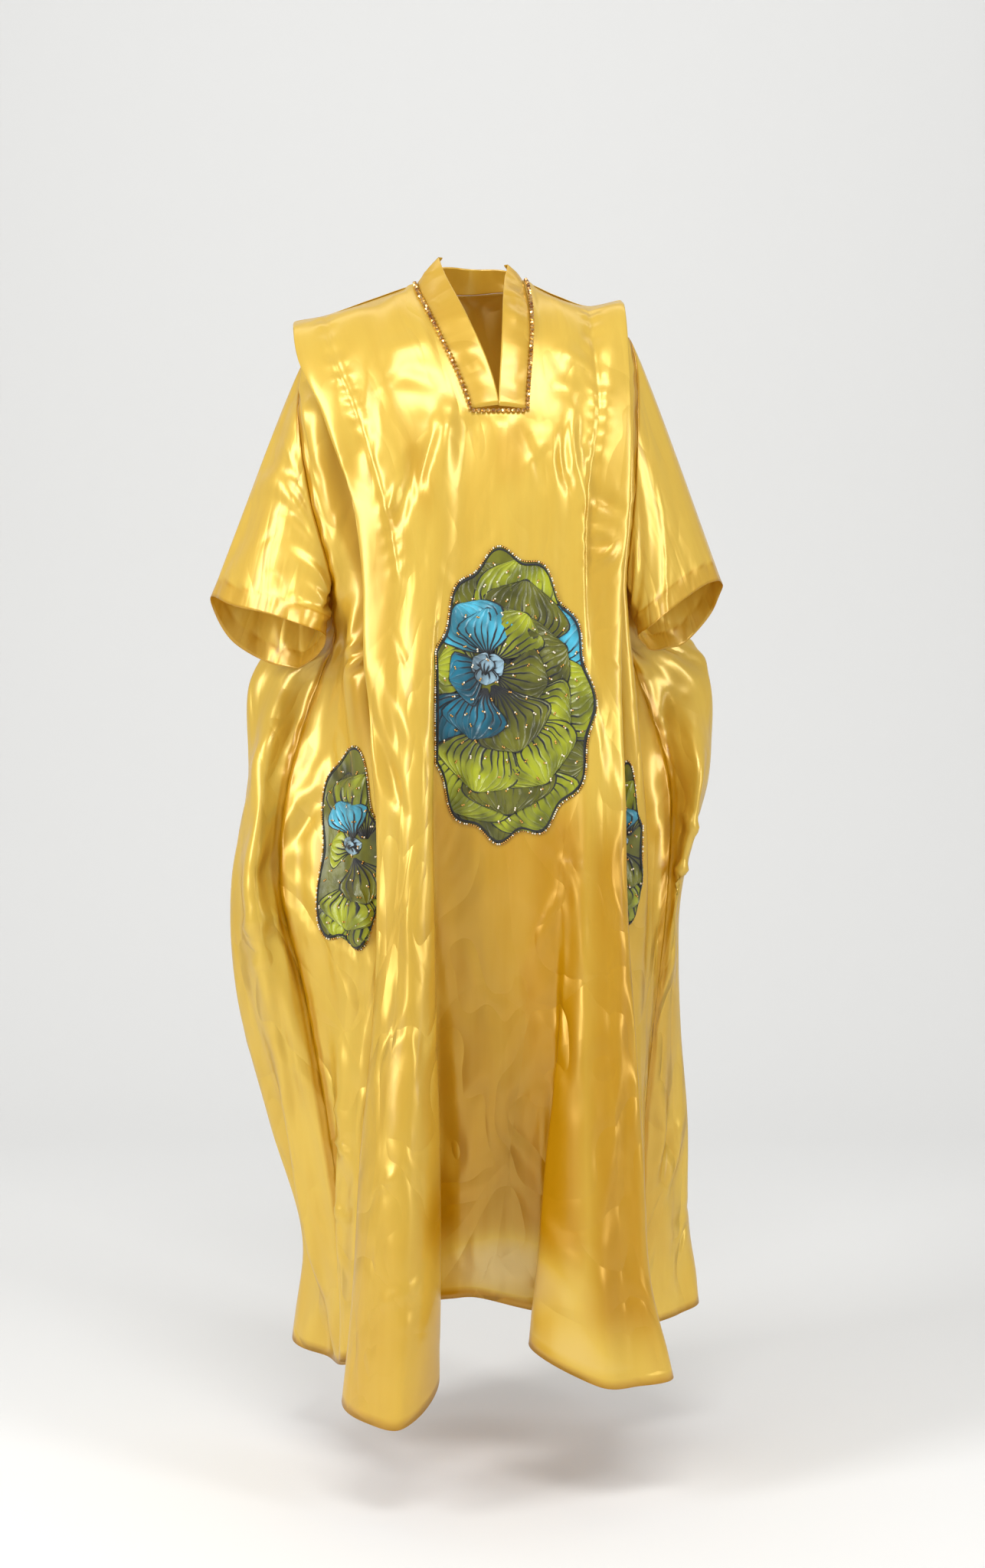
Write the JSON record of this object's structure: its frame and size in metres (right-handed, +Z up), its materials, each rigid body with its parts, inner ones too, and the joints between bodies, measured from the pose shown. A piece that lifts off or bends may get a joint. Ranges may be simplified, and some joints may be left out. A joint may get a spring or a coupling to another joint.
{
  "type": "kaftan",
  "caption": "Long wide kaftan of gold satin organza with stitched shoulder tucks, elbow-length sleeves, a beaded V neck band and padded flower appliques, open and shaped as worn.",
  "frame": {"origin": "between the two shoulder seams at the height of the shoulders, where a wearer or a hanger holds the kaftan up", "axes": "+Z up, -Y out of the front, +X towards the right of somebody who looks at the front"},
  "size_m": [0.6816, 0.5132, 1.4854],
  "materials": {
    "body_cloth": "gold satin organza, glossy and slightly sheer",
    "band_cloth": "the same organza, folded double",
    "beads": "small facetted beads in bronze and gold",
    "applique": "padded cloth in greens and blues with dark stitching and small beads"
  },
  "bodies": {
    "root": {"front_panel": "body_cloth", "back_panel": "body_cloth", "side_front_left": "body_cloth", "side_front_right": "body_cloth", "side_back_left": "body_cloth", "side_back_right": "body_cloth", "sleeve_left": "body_cloth", "sleeve_right": "body_cloth", "neck_band": "band_cloth", "neck_beads": "beads", "flower_centre": "applique", "flower_left": "applique", "flower_right": "applique"}
  },
  "joints": []
}
